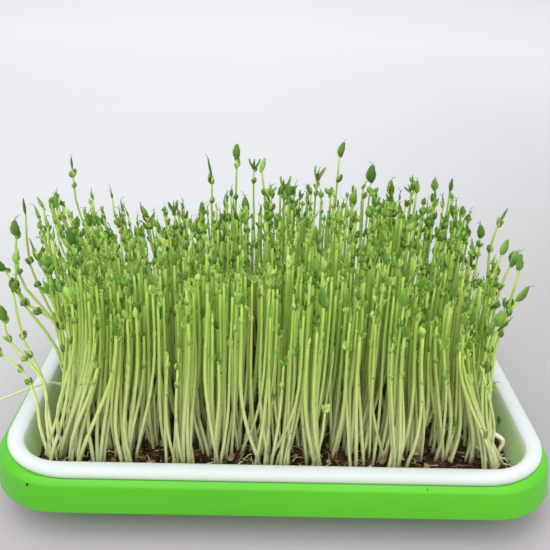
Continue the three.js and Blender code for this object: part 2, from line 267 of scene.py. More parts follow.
def freshLeaf():
    # Living pea leaves: waxy mid to dark green with a paler midrib and fine side veins.
    material, place = newMaterial("freshPeaLeaf")
    growth, tint, rib = [addNode(material, "Attribute", output="Fac", attribute_name=name)
                         for name in ("growth", "tint", "rib")]
    blotch = addNode(material, "TexNoise", {"Vector": place, "Scale": 1 / (3.5 * mm), "Detail": 2.0})
    tone = addNode(material, "Math", [blotch, 0.35, tint], operation="MULTIPLY_ADD")
    base = addNode(material, "ValToRGB", {"Fac": tone}, stops=[
        (0.2, "4c7623"), (0.45, "679233"), (0.7, "8eb84a"), (1.0, "bfd770")])
    slant = addNode(material, "Math", [rib, -0.3, growth], operation="MULTIPLY_ADD")
    wave = addNode(material, "Math", [slant, 75.0], operation="MULTIPLY")
    veins = addNode(material, "Math", [wave], operation="SINE")
    ribLine = addNode(material, "MapRange", [rib, 0.0, 0.22, 1.0, 0.0])
    veinLine = addNode(material, "MapRange", [veins, 0.6, 1.0, 0.0, 0.2])
    lines = addNode(material, "Math", [ribLine, veinLine], operation="MAXIMUM")
    share = addNode(material, "Math", [lines, 0.45], operation="MULTIPLY")
    veined = addNode(material, "Mix", {"Factor": share, "A": base, "B": linear("bdd67a")}, "Result",
                     data_type="RGBA")
    bump = addNode(material, "Bump", {"Height": lines, "Strength": 0.4, "Distance": 0.2 * mm})
    rough = addNode(material, "MapRange", [blotch, 0, 1, 0.36, 0.6])
    return fillShader(material, {
        "Base Color": veined, "Roughness": rough, "Normal": bump, "IOR": 1.42,
        "Subsurface Weight": 0.25,
        "Subsurface Radius": (0.5, 1.0, 0.2),
        "Subsurface Scale": 0.9 * mm,
    })


greenLook = {"colour": "59c116", "shade": "4fb511", "rough": (0.3, 0.46), "peel": 0.12, "glow": 0.12, "glowDepth": 3}
# The white's wall below the lip and the front of its lip's outer edge are painted a darker grey green: painted shade
# with a painted reflection of the green tray.
whiteLook = {"colour": "dfe2e7", "shade": "d9dde1", "rough": (0.34, 0.5), "peel": 0.1, "glow": 0.15, "glowDepth": 4,
             "paintedWallShadeAndReflection": "b4cf9a", "fade": (39.8, 45), "paintedEdgeShadeAndReflection": "9eae98"}
greenPlastic = mouldedPlastic("mouldedGreenPolypropylene", greenLook)
whitePlastic = mouldedPlastic("mouldedWhitePolypropylene", whiteLook)
coir = dampCoir()
seedCoat = dryLitter("dryPeaSeedCoat", [(0.1, "5b3a22"), (0.45, "9a7a48"), (0.8, "cbb483")], 0.6)
fibre = dryLitter("dryCoirFibre", [(0.1, "3b2214"), (0.5, "7a5433"), (0.9, "b59468")], 0.8)
rootThread = dryLitter("livingRootThread", [(0.1, "b9a678"), (0.5, "dcd3b2"), (0.9, "f3efdc")], 0.5)
stemGreen = freshStem()
leafGreen = freshLeaf()
print("materials made")


# Trays

trayPlan = {
    "length": 330,
    "depth": 245,
    "cornerRadius": 41.5,
    "cornerSteps": 14,
}
waterPlan = {
    "start": (-0.9, 21),  # the widest ring: how far in from the tray's outline, and its height
    "upper": [(1.1, 38.5), (4, 41.7), (11.5, 41.7), (27.4, 4), (29.4, 2)],
    "lower": [(1.1, 21), (2.9, 37.7), (4.8, 39.7), (10.4, 39.7), (26, 2.5), (28.5, 0)],
    "rounding": (0.9, 3),  # width and steps
    "springsAbove": 30,
    "sprungIn": [(-1, 1, 0.989), (1, 1, 0.984), (1, -1, 0.993)],  # side, end and how far the rim has drawn in there
}
lipPlan = {  # a body that trims the white lip: its outer edge is rounder at the corners and shorter at the ends
    "cornerRadius": 47.5,
    "tuck": 1.2,
    "edgeTop": 45,  # the lip's outer edge runs from here down this far, and gets painted shade and a painted green reflection along the front only
    "edgeDrop": 2.1,
    "lipInside": 12.1,
    "lipAbove": 41.9,
    "frontFrom": -98,
    "frontFade": 20,
    "start": (3.5, 42.9),
    "upper": [(4.5, 43.8), (6, 44.5), (12, 46.4)],
    "lower": [(3.8, 40), (4.2, 5)],
}
sievePlan = {
    "start": (2.5, 43.4),
    "upper": [(3, 45), (12.8, 45), (15.4, 44.2), (16.5, 42.4), (21.8, 28), (27.8, 14), (29.8, 12)],
    "lower": [(2.7, 42), (14.6, 42), (20.2, 28), (26, 13), (29, 10)],
    "rounding": (0.5, 2),
    "slot": (5, 46, 8),
    "firstSlot": (-112.5, -54, 11),
    "slots": [(11, 22.5, 0), (3, 0, 54)],  # how many, and the step along X and Y from one to the next
}


def insetRings(start, rings, side):
    inset, height = start
    for nextInset, nextHeight in rings:
        bpy.ops.mesh.inset(thickness=(nextInset - inset) * mm, depth=side * (nextHeight - height) * mm,
                           use_boundary=True, use_even_offset=True)
        inset, height = nextInset, nextHeight


def shapeFromRings(name, plan):
    # a rounded plate at the widest ring, inset upwards for the upper skin and downwards for the lower one
    inset, height = plan["start"]
    radius = plan.get("cornerRadius", trayPlan["cornerRadius"])
    piece = newShape(bpy.ops.mesh.primitive_plane_add, size=1)
    piece.name = name
    editAll()
    length = (trayPlan["length"] - 2 * inset - 2 * plan.get("tuck", 0)) * mm
    depth = (trayPlan["depth"] - 2 * inset) * mm
    bpy.ops.transform.resize(value=(length, depth, 1))
    bpy.ops.transform.translate(value=(0, 0, height * mm))
    bpy.ops.mesh.bevel(offset=(radius - inset) * mm, segments=trayPlan["cornerSteps"], affect="VERTICES")
    selectAll()
    bpy.ops.mesh.duplicate()
    bpy.ops.mesh.flip_normals()
    bpy.ops.mesh.select_mode(type="FACE")
    insetRings(plan["start"], plan["lower"], -1)
    setMode("OBJECT")
    for face in piece.data.polygons:  # the plate that is left to inset upwards
        face.select = face.normal.z > 0.9 and len(face.vertices) > 4
    setMode("EDIT")
    bpy.ops.mesh.select_mode(type="FACE")
    insetRings(plan["start"], plan["upper"], 1)
    selectAll()
    bpy.ops.mesh.remove_doubles(threshold=0.01 * mm)
    closeShape()
    return piece


def waterTray():
    piece = shapeFromRings("water_tray_moulded", waterPlan)
    for side, end, share in waterPlan["sprungIn"]:
        pickVertices(piece, lambda co: side * co.x > 0 and end * co.y > 0 and co.z > waterPlan["springsAbove"] * mm)
        scaleBy((share, 1, 1))
    roundEdges(piece, *waterPlan["rounding"])
    smoothByAngle(piece)
    finishPiece(piece, ["water_tray"], [greenPlastic])


def markLipEdge(piece):  # keeps how far each point is down the lip's outer edge at the front, as the attribute "edge": the mask of its painted shade and painted green reflection
    points = np.array([vertex.co for vertex in piece.data.vertices]) / mm
    outline = np.array([trayPlan["length"], trayPlan["depth"]]) / 2 - trayPlan["cornerRadius"]
    over = np.maximum(np.abs(points[:, :2]) - outline, 0)
    inset = trayPlan["cornerRadius"] - np.hypot(over[:, 0], over[:, 1])
    isLip = (inset < lipPlan["lipInside"]) & (points[:, 2] > lipPlan["lipAbove"])
    atFront = np.clip((lipPlan["frontFrom"] - points[:, 1]) / lipPlan["frontFade"], 0, 1)
    down = np.clip((lipPlan["edgeTop"] - points[:, 2]) / lipPlan["edgeDrop"], 0, 1)
    edge = np.where(isLip, down * atFront, 0)
    piece.data.attributes.new("edge", "FLOAT", "POINT").data.foreach_set("value", edge.astype(np.float32))


def slotCutter():
    cutter = newShape(bpy.ops.mesh.primitive_cube_add, size=1)
    editAll()
    bpy.ops.transform.resize(value=[size * mm for size in sievePlan["slot"]])
    selectAll()
    bpy.ops.transform.translate(value=[place * mm for place in sievePlan["firstSlot"]])
    setMode("OBJECT")
    for count, stepX, stepY in sievePlan["slots"]:
        applyModifier(cutter, "ARRAY", count=count, use_relative_offset=False, use_constant_offset=True,
                      constant_offset_displace=(stepX * mm, stepY * mm, 0))
    return cutter


def sieveTray():
    piece = shapeFromRings("sieve_tray_moulded", sievePlan)
    cutWith(piece, shapeFromRings("lip_trim", lipPlan), "INTERSECT")
    roundEdges(piece, *sievePlan["rounding"])
    cutWith(piece, slotCutter(), "DIFFERENCE")
    smoothByAngle(piece)
    markLipEdge(piece)
    finishPiece(piece, ["sieve_tray"], [whitePlastic])


waterTray()
sieveTray()
print("trays made")


# Coir bed

bedPlan = {
    "start": (22, 28.8),
    "upper": [(25, 29.6)],
    "lower": [(22.2, 27.9), (28.2, 14.2), (30.1, 12.3)],
    "grain": 2.0,  # voxel size
    "crumbledAbove": 28.3,
    "unevenness": {"coirLumps": (9, 1, 4.5), "coirCrumbs": (3, 2, 2.2)},  # size, detail and height
}


def coirBed():
    piece = shapeFromRings("coir_bed_crumbled", bedPlan)
    applyModifier(piece, "REMESH", mode="VOXEL", voxel_size=bedPlan["grain"] * mm)
    surface = piece.vertex_groups.new(name="surface")
    top = [vertex.index for vertex in piece.data.vertices if vertex.co.z > bedPlan["crumbledAbove"] * mm]
    surface.add(top, 1.0, "REPLACE")
    for name, (size, detail, height) in bedPlan["unevenness"].items():
        texture = bpy.data.textures.new(name, "CLOUDS")
        texture.noise_scale = size * mm
        texture.noise_depth = detail
        applyModifier(piece, "DISPLACE", texture=texture, strength=height * mm, mid_level=0.5,
                      direction="Z", texture_coords="LOCAL", vertex_group="surface")
    activate(piece)
    bpy.ops.object.shade_smooth()
    finishPiece(piece, ["soil"], [coir])
    return piece


bed = coirBed()
print("coir bed made")


# Unit shapes that are copied along the shoots. Each is about one unit long, growing along +Z.

def readUnit(piece):  # takes the shape's points and faces, in the same order on every run, and lets its object go
    points = np.array([vertex.co for vertex in piece.data.vertices])
    faces = sorted(list(face.vertices) for face in piece.data.polygons)
    bpy.data.objects.remove(piece)
    return {"points": points, "faces": faces}


def tubeUnit(sides, steps):  # radius 1, length 1
    piece = newShape(bpy.ops.mesh.primitive_circle_add, vertices=sides, radius=1, fill_type="NGON")
    editAll()
    for _ in range(steps):
        bpy.ops.mesh.extrude_region_move(TRANSFORM_OT_translate={"value": (0, 0, 1 / steps)})
    closeShape()
    unit = readUnit(piece)
    unit["steps"] = steps
    return unit


def bladeUnit(rows, fold, cup, thickness):
    # a leaf blade: an edge with its midrib vertex, extruded row by row, then folded, cupped and thickened
    piece = newShape(bpy.ops.mesh.primitive_plane_add, size=1)
    (_, foot), (first, wider) = rows[:2]
    editAll()
    bpy.ops.transform.rotate(value=math.pi / 2, orient_axis="X", center_override=(0, 0, 0))
    selectAll()
    scaleBy((foot, 1, first))
    selectAll()
    bpy.ops.transform.translate(value=(0, 0, first / 2))
    pickVertices(piece, lambda co: co.z > first / 2)
    scaleBy((wider / foot, 1, 1))
    for (low, narrow), (high, wide) in zip(rows[1:], rows[2:]):
        bpy.ops.mesh.extrude_edges_move(TRANSFORM_OT_translate={"value": (0, 0, high - low)})
        scaleBy((wide / narrow, 1, 1))
    selectAll()
    bpy.ops.mesh.bisect(plane_co=(0, 0, 0), plane_no=(1, 0, 0))
    pickVertices(piece, lambda co: abs(co.x) < 0.001)
    bpy.ops.transform.translate(value=(0, -fold, 0))
    for height, _ in rows:
        pickVertices(piece, lambda co: abs(co.z - height) < 0.001)
        bpy.ops.transform.translate(value=(0, cup * (2 * height - 1) ** 2, 0))
    setMode("OBJECT")
    applyModifier(piece, "SOLIDIFY", thickness=thickness, offset=0)
    unit = readUnit(piece)
    fromRib = np.abs(unit["points"][:, 0])
    unit["rib"] = fromRib / fromRib.max()
    unit["growth"] = np.clip(unit["points"][:, 2], 0, 1)
    return unit


def budUnit():
    # a folded top leaf: a ball drawn to a teardrop, flattened, with the slit of the fold pressed into one edge
    piece = newShape(bpy.ops.mesh.primitive_uv_sphere_add, (0, 0, 0.5), segments=8, ring_count=6, radius=0.5)
    bpy.ops.object.transform_apply(location=True)
    editAll()
    scaleBy((1, 0.54, 1), (0, 0, 0.5))
    pickVertices(piece, lambda co: co.z > 0.7)
    scaleBy((0.78, 0.6, 1), (0, 0, 0.7))
    pickVertices(piece, lambda co: co.z < 0.2)
    scaleBy((0.7, 0.8, 1), (0, 0, 0.2))
    pickVertices(piece, lambda co: co.x > 0.3 and abs(co.y) < 0.05)
    bpy.ops.transform.translate(value=(-0.2, 0, 0))
    closeShape()
    unit = readUnit(piece)
    unit["rib"] = np.clip(0.5 + unit["points"][:, 0], 0, 1)
    unit["growth"] = np.clip(unit["points"][:, 2], 0, 1)
    return unit


units = {
    "stem": tubeUnit(5, 10),
    "thread": tubeUnit(3, 6),
    "leaflet": bladeUnit([(0, 0.1), (0.15, 0.3), (0.4, 0.98), (0.65, 1), (0.88, 0.55), (1, 0.08)], 0.12, 0.12, 0.05),
    "stipule": bladeUnit([(0, 0.5), (0.3, 1), (0.7, 0.75), (1, 0.08)], 0.16, 0.2, 0.06),
    "bud": budUnit(),
}
print("unit shapes made", {name: len(unit["faces"]) for name, unit in units.items()})


# Shoots

clumpPlan = {  # where the clumps and their main shoots stand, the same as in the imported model
    "seed": 20481,
    "columns": 9,
    "rows": 4,
    "pitch": (30.5, 51.3),
    "wander": 0.8,
    "soilTop": 30,
    "baseSpread": (4, 6.6),
    "topSpread": (7.6, 17.1),
    "shootWander": 1.2,
    "fanHeight": 80,
    "leanHeight": (12, 98),
    "leanPlace": 130,
    "frontBackLean": 0.06,
    "leftLean": (-36, 92, 35),  # at the front, at the back, and at most
    "rightLean": (-38, 80, 5),
    "height": (97, 127),
    "backDrop": 27,
    "backRise": 20,
    "riseStart": -60,
    "dip": (10, -80, 45),  # how deep, its middle along X, and its reach
    "rightDrop": 34,
    "tallTips": {0: (-160, 119), 5: (-52, 116), 7: (-31, 131), 8: (-18, 124), 9: (5, 108), 10: (29, 117),
                 11: (45, 135), 13: (71, 115), 14: (88, 106), 15: (103, 108), 16: (122, 111)},
    "leaf": (6.5, 9),
    "leafHalf": (2.1, 2.9),
    "bud": (9, 13),
}
shootPlan = {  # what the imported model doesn't have: the finer shoots, and how every shoot is dressed
    "seed": 77123,
    "bunches": (9, 7, 6, 6),  # in each clump, row by row from the front
    "inBunch": (2.6, 5.4),
    "bunchRadius": 4.5,
    "fan": (0.7, 8, 16),  # share of narrow fans, and how far the shoots of narrow and wide ones part
    "height": (78, 128),
    "tallness": 0.7,  # the lower, the more of them are tall
    "short": (0.04, 24, 52),  # share of them, and their heights
    "radius": [(0, 1.1), (0.3, 1.05), (0.8, 0.9), (1, 0.7)],  # at shares of a stem's length
    "radiusScale": (0.8, 1.2),
    "greenHeight": 110,  # where a stem is as green as it gets
    "coolShare": 1.3,  # the higher, the fewer stems are of the warmer green
    "rooted": 4,  # how deep in the soil its foot is
    "bend": 2.2,
    "bendTurns": (1, 2.6),
    "leafNode": (0.72, 0.91),
    "feet": (133, (-94, 93)),  # the soil that they may stand on: half its length, its front and its back
    "tops": (119, 131),  # how far out they may reach before the canopy leans, at the front and further back
    "topsAt": (-85, -40),
    "turnedBack": 0.4,  # the share of what goes past that reach by which they stand inside it
    "leaf": (3.5, 6.5),
    "leafHalf": (1.1, 2),
    "bud": (4.8, 8.4),
    "leafyRows": (0.33, 0.45, 0.66, 0.85),  # share of leafy bunches, row by row; the others have pale closed tips
    "leafyEnds": 0.3,  # and how much more of them there are at the tray's ends
    "nodeOdds": {True: (0.6, 1), False: (0.06, 0.25)},  # of open leaves on a finer and on a main shoot, if leafy
    "tints": {True: (0, 0.5), False: (0.36, 0.82)},
    "kinds": {True: (0, 1), False: (0.3, 0.65)},
    "tips": (0.45, 0.6),  # kinds below the first are a folded bud, up to the second a spear, the rest just opening
    "tipKinds": {0: 0.5, 5: 0.5, 7: 0.2, 8: 0.9, 9: 0.9, 10: 0.9, 11: 0.2, 13: 0.2, 14: 0.2, 15: 0.9, 16: 0.2},
    "budScale": {True: 0.95, False: 0.7},
    "tallestBud": 1.2,
    "budWide": (0.43, 0.64),  # share of the bud's length
    "leafScale": (0.52, 0.92),
}
drawMain = makeDraw(clumpPlan["seed"])
drawFine = makeDraw(shootPlan["seed"])


def rounded(rise):
    return np.minimum(rise, 1) * (2 - np.minimum(rise, 1))


def leaned(x, y, height):
    start, end = clumpPlan["leanHeight"]
    rise = np.clip((height - start) / (end - start), 0, 1)
    share = rise * rise * (3 - 2 * rise)
    depth = y / trayPlan["depth"] + 0.5
    side = x / clumpPlan["leanPlace"]
    leans = [np.minimum(front + (back - front) * depth, most)
             for front, back, most in (clumpPlan["leftLean"], clumpPlan["rightLean"])]
    outX = np.where(x < 0, *leans) * side * np.abs(side)
    backward = 1 + clumpPlan["frontBackLean"] * share
    return np.stack([x + share * outX, y * backward, clumpPlan["soilTop"] + height + 0 * x], axis=-1)


def stemLine(shoot, heights):
    share = rounded(np.maximum(heights, 0) / clumpPlan["fanHeight"])
    x = shoot["base"][0] + share * (shoot["top"][0] - shoot["base"][0])
    y = shoot["base"][1] + share * (shoot["top"][1] - shoot["base"][1])
    line = leaned(x, y, heights)
    rise = np.clip(heights / shoot["height"], 0, 1)
    for axis in (0, 1):
        size, phase, turns = shoot["bend"][axis]
        line[:, axis] += size * np.sin(phase + turns * math.pi * rise) * rise * (1.3 - rise)
    return line


def drawBend():
    size = shootPlan["bend"]
    return [(drawFine(-size, size), drawFine(*anyWay), drawFine(*shootPlan["bendTurns"])) for _ in (0, 1)]


def shortened(x, y):  # how much shorter a shoot stays than the tallest ones of the front row
    depth = y / trayPlan["depth"] + 0.5
    side = max(x / clumpPlan["leanPlace"], 0)
    start = clumpPlan["riseStart"]
    rise = max((x - start) / (clumpPlan["leanPlace"] - start), 0)
    dipDrop, dipMiddle, dipReach = clumpPlan["dip"]
    dip = max(1 - ((x - dipMiddle) / dipReach) ** 2, 0)
    back = clumpPlan["backDrop"] - clumpPlan["backRise"] * rise + dipDrop * dip
    return back * depth + clumpPlan["rightDrop"] * (1 - depth) * side ** 3


def drawLeaves(draw, plan):
    return {"turn": draw(0, 2 * math.pi), "leaf": draw(*plan["leaf"]), "leafHalf": draw(*plan["leafHalf"]),
            "bud": draw(*plan["bud"])}


def planMain(middle, column, row, tip):
    sideX = column - 0.5
    sideY = row - 1
    wander = clumpPlan["shootWander"]
    base = (middle[0] + 2 * sideX * clumpPlan["baseSpread"][0], middle[1] + sideY * clumpPlan["baseSpread"][1])
    topX = middle[0] + 2 * sideX * clumpPlan["topSpread"][0] + drawMain(-wander, wander)
    topY = middle[1] + sideY * clumpPlan["topSpread"][1] + drawMain(-wander, wander)
    height = drawMain(*clumpPlan["height"]) - shortened(topX, topY)
    if tip:
        topX += tip[0] - leaned(np.array(topX), np.array(topY), clumpPlan["leanHeight"][1])[0]
        height = tip[1]
    return {"base": base, "top": (topX, topY), "height": height, **drawLeaves(drawMain, clumpPlan)}


def planClump(column, row):
    wander = clumpPlan["wander"]
    middle = (
        (column - (clumpPlan["columns"] - 1) / 2) * clumpPlan["pitch"][0] + drawMain(-wander, wander),
        (row - (clumpPlan["rows"] - 1) / 2) * clumpPlan["pitch"][1] + drawMain(-wander, wander),
    )
    shoots = []
    for shootRow in range(3):
        for shootColumn in range(2):
            isBack = row == clumpPlan["rows"] - 1 and shootRow == 2
            tip = clumpPlan["tallTips"].get(2 * column + shootColumn) if isBack else None
            shoot = planMain(middle, shootColumn, shootRow, tip)
            if tip:
                shoot["kind"] = shootPlan["tipKinds"][2 * column + shootColumn]
                shoot["turn"] = -math.pi / 2  # its flat side to the front
            shoots.append(shoot)
    drawMain(0, math.pi)  # the turn of the clump's root plug, which stays under the soil
    return {"name": f"shoots_{row + 1}_{column + 1}", "middle": middle, "shoots": shoots}


def turnBack(value, reach, share):  # what would stand past the reach stands inside it instead
    over = abs(value) - reach
    return value if over < 0 else math.copysign(reach - share * over, value)


def drawLeafy(row, x):  # whether shoots opened dark leaves there, or only have pale closed tips
    share = shootPlan["leafyRows"][row] + shootPlan["leafyEnds"] * (x / clumpPlan["leanPlace"]) ** 2
    return bool(drawFine(0, 1) < share)


def planExtra(clump, row):  # finer shoots between the main ones, in small bunches that fan out from one spot
    shoots = []
    halfX, halfY = clumpPlan["pitch"][0] / 2, clumpPlan["pitch"][1] / 2
    halfBed, (front, back) = shootPlan["feet"]
    spread = shootPlan["bunchRadius"]
    narrowShare, narrow, wide = shootPlan["fan"]
    lowest, highest = shootPlan["height"]
    for _ in range(shootPlan["bunches"][row]):
        footX = clump["middle"][0] + drawFine(-halfX, halfX)
        footY = clump["middle"][1] + drawFine(-halfY, halfY)
        leafy = drawLeafy(row, footX)
        for _ in range(round(drawFine(*shootPlan["inBunch"]))):
            baseX = turnBack(footX + drawFine(-spread, spread), halfBed, 1)
            baseY = min(max(footY + drawFine(-spread, spread), front), back)
            fan = narrow if drawFine(0, 1) < narrowShare else wide
            reach = np.interp(baseY, shootPlan["topsAt"], shootPlan["tops"])
            topX = turnBack(baseX + drawFine(-fan, fan), reach, shootPlan["turnedBack"])
            topY = baseY + drawFine(-fan, fan)
            height = lowest + drawFine(0, 1) ** shootPlan["tallness"] * (highest - lowest) - shortened(topX, topY)
            share, low, high = shootPlan["short"]
            if drawFine(0, 1) < share:
                height = drawFine(low, high)
            shoots.append({"base": (baseX, baseY), "top": (topX, topY), "height": height, "leafy": leafy,
                           **drawLeaves(drawFine, shootPlan)})
    return shoots


def newPile():
    return {"points": [], "faces": [], "slots": [], "growth": [], "tint": [], "rib": [], "count": 0}


def layOn(pile, points, faces, slot, growth, tint, rib):
    start = pile["count"]
    pile["points"].append(points)
    pile["faces"].extend([[start + index for index in face] for face in faces])
    pile["slots"].extend([slot] * len(faces))
    pile["growth"].append(growth)
    pile["tint"].append(np.full(len(points), tint))
    pile["rib"].append(rib)
    pile["count"] += len(points)


def layTube(pile, shape, line, radii, slot, growth, tint):
    # bends a copy of a tube along a line with one point for each of its rings
    unit = units[shape]
    tangents = np.gradient(line, axis=0)
    tangents /= np.linalg.norm(tangents, axis=1)[:, None]
    level = np.array([1.0, 0.15, 0.0]) if abs(tangents[0, 2]) > 0.5 else np.array([0.1, 0.1, 1.0])
    across = np.cross(tangents, level)
    across /= np.linalg.norm(across, axis=1)[:, None]
    beside = np.cross(across, tangents)
    ring = np.rint(unit["points"][:, 2] * unit["steps"]).astype(int)
    reach = radii[ring][:, None]
    points = line[ring] + reach * (unit["points"][:, 0:1] * beside[ring] + unit["points"][:, 1:2] * across[ring])
    layOn(pile, points, unit["faces"], slot, growth[ring], tint, np.ones(len(points)))


def unitLong(vector):
    return vector / np.linalg.norm(vector)


def layLeaf(pile, shape, foot, along, facing, size, slot, tint):
    # a copy of a leaf or bud: size is its width, its depth and its length
    unit = units[shape]
    along = unitLong(along)
    across = unitLong(np.cross(along, facing))
    facing = np.cross(across, along)
    sized = unit["points"] * np.array(size)
    points = foot + sized[:, 0:1] * across + sized[:, 1:2] * facing + sized[:, 2:3] * along
    layOn(pile, points, unit["faces"], slot, unit["growth"], tint, unit["rib"])


def direction(angle, rise):  # level angle in radians, rise 0 is level and 1 straight up
    flat = math.sqrt(max(1 - rise * rise, 0))
    return np.array([flat * math.cos(angle), flat * math.sin(angle), rise])


tipPlan = {  # the leaves at a shoot's tip: lengths in millimetres, and shares of the bud's length
    "sway": (0.05, 0.55),  # how far the tip turns off its stem
    "sunk": 0.6,  # how deep a bud's foot sits on the stem
    "budDepth": 0.8,  # share of its width
    "spear": (2.2, 1.9, 1.1, 0.8),  # width, depth, and shares of the length and of the tint
    "heart": (2.2, 1.8, 0.55),  # what stands between two opening leaflets
    "opening": (0.15, 0.6),  # how far these lean out
    "openingSunk": 0.8,
    "openingShares": ((0.45, 0.6), 0.6, (0.65, 0.9)),
    "paler": {"opening": 0.1, "stipule": 0.2},  # added to the tint
    "tendrilFoot": (0.85, 0.95, 0.5),  # share at which tendrils leave a bud, a spear and an opening tip
    "stipuleOdds": {True: 0.5, False: 0.25},
    "stipuleDrop": (0, 2.5),
    "stipuleSpread": (0.5, 0.1),
    "stipuleSize": ((2.4, 4), 4, (3.5, 6)),
    "tendrils": {True: (0.3, 2.9), False: (0.3, 1.8)},
    "tendrilSway": 0.35,
    "tendrilLength": (3, 7),
    "tendrilRadius": (0.32, 0.14),
    "tendrilCurl": (0.5, 2.2),
    "tendrilDroop": 0.25,
    "tendrilTint": (0, 0.3),
}
nodePlan = {  # the leaves along a stem
    "stipuleTurn": (1.1, 1.7),
    "stipuleLean": (0.2, 0.5),
    "stipuleSize": ((2, 3.2), 3.2, (3.2, 5.2)),
    "stipuleTint": (0.4, 0.95),
    "leafTurn": (1.7, 2.6),  # from one leaflet to the next, in radians
    "leafStray": (-0.4, 0.4),
    "leafOut": (0.3, 0.6),
    "leafUp": (0.7, 1),
    "leafDepth": (0.4, 1.8),  # how far it is folded and cupped, as a share of its length
    "facingUp": 0.2,
    "secondNode": (0.91, 0.96),  # share of the height
    "turnBetween": 2.5,
    "scales": (0.3, 0.52, 0.7),  # share of the height at which a leaf may never have opened
    "scaleOdds": 0.35,
    "scaleStray": (-0.06, 0.06),
    "scaleLean": 0.6,
    "scaleSize": (1.6, 1.4, 2.8),
    "scaleTint": (0, 0.6),
}


def curledLine(foot, heading, length, turn, droops):  # a thread that turns aside and droops at each step
    line = [np.array(foot)]
    for droop in droops:
        line.append(line[-1] + heading * length / len(droops))
        heading = unitLong(heading + turn - (0, 0, droop))
    return np.array(line)


def growTendril(pile, foot, along, length, tint):
    steps = units["thread"]["steps"]
    side = direction(drawFine(*anyWay), 0)
    curl = drawFine(*tipPlan["tendrilCurl"])
    droops = [tipPlan["tendrilDroop"] * curl * step / steps for step in range(steps)]
    line = curledLine(foot, unitLong(along), length, side * curl / steps, droops)
    radii = np.linspace(*tipPlan["tendrilRadius"], steps + 1)
    layTube(pile, "thread", line, radii, 1, np.linspace(0, 1, steps + 1), tint)


def growTip(pile, shoot, foot, along):
    # the folded top leaf with its stipules and tendrils: mostly a rounded bud, or a spear, or just opening
    leafy = shoot["leafy"]
    kind = shoot.get("kind", drawFine(*shootPlan["kinds"][leafy]))
    folded, closed = shootPlan["tips"]
    onBud, onSpear, onOpening = tipPlan["tendrilFoot"]
    facing = direction(shoot["turn"], 0)
    heading = unitLong(along + direction(drawFine(*anyWay), 0) * drawFine(*tipPlan["sway"]))
    beside = np.cross(heading, facing)
    bud = shoot["bud"] * (shootPlan["tallestBud"] if "kind" in shoot else shootPlan["budScale"][leafy])
    tint = drawFine(*shootPlan["tints"][leafy])
    sunk = foot - heading * tipPlan["sunk"]
    if kind < folded:
        wide = drawFine(*shootPlan["budWide"]) * bud
        layLeaf(pile, "bud", sunk, heading, facing, (wide, wide * tipPlan["budDepth"], bud), 1, tint)
        top = foot + heading * bud * onBud
    elif kind < closed:
        wide, deep, share, darker = tipPlan["spear"]
        layLeaf(pile, "bud", sunk, heading, facing, (wide, deep, bud * share), 1, tint * darker)
        top = foot + heading * bud * onSpear
    else:
        wide, deep, high = tipPlan["openingShares"]
        for side in (-1, 1):
            opened = heading + side * drawFine(*tipPlan["opening"]) * beside
            layLeaf(pile, "leaflet", foot - heading * tipPlan["openingSunk"], opened, -side * beside,
                    (drawFine(*wide) * bud, deep * bud, drawFine(*high) * bud), 1,
                    tint + tipPlan["paler"]["opening"])
        wide, deep, share = tipPlan["heart"]
        layLeaf(pile, "bud", foot, heading, facing, (wide, deep, bud * share), 1, tint)
        top = foot + heading * bud * onOpening
    wide, deep, high = tipPlan["stipuleSize"]
    aside, lift = tipPlan["stipuleSpread"]
    for side in (-1, 1):
        if drawFine(0, 1) < tipPlan["stipuleOdds"][leafy]:
            spread = heading + side * aside * beside + lift
            layLeaf(pile, "stipule", foot - heading * drawFine(*tipPlan["stipuleDrop"]), spread,
                    side * facing, (drawFine(*wide), deep, drawFine(*high)), 1, tint + tipPlan["paler"]["stipule"])
    for _ in range(int(drawFine(*tipPlan["tendrils"][leafy]))):
        sway = direction(drawFine(*anyWay), 0) * tipPlan["tendrilSway"]
        growTendril(pile, top, heading + sway, drawFine(*tipPlan["tendrilLength"]),
                    drawFine(*tipPlan["tendrilTint"]))


def growNode(pile, shoot, place, along, leaves):
    # where leaves leave the stem: two small stipules that clasp it and one or two leaflets
    wide, deep, high = nodePlan["stipuleSize"]
    for side in (-1, 1):
        outward = direction(shoot["turn"] + side * drawFine(*nodePlan["stipuleTurn"]), 0)
        layLeaf(pile, "stipule", place, along + outward * drawFine(*nodePlan["stipuleLean"]), -outward,
                (drawFine(*wide), deep, drawFine(*high)), 1, drawFine(*nodePlan["stipuleTint"]))
    for leaf in range(leaves):
        angle = shoot["turn"] + leaf * drawFine(*nodePlan["leafTurn"]) + drawFine(*nodePlan["leafStray"])
        out = direction(angle, 0) * drawFine(*nodePlan["leafOut"]) + along * drawFine(*nodePlan["leafUp"])
        grown = drawFine(*shootPlan["leafScale"])
        size = (2 * shoot["leafHalf"] * grown, shoot["leaf"] * drawFine(*nodePlan["leafDepth"]),
                shoot["leaf"] * grown)
        tint = drawFine(*shootPlan["tints"][shoot["leafy"]])
        layLeaf(pile, "leaflet", place, out, -direction(angle, nodePlan["facingUp"]), size, 1, tint)


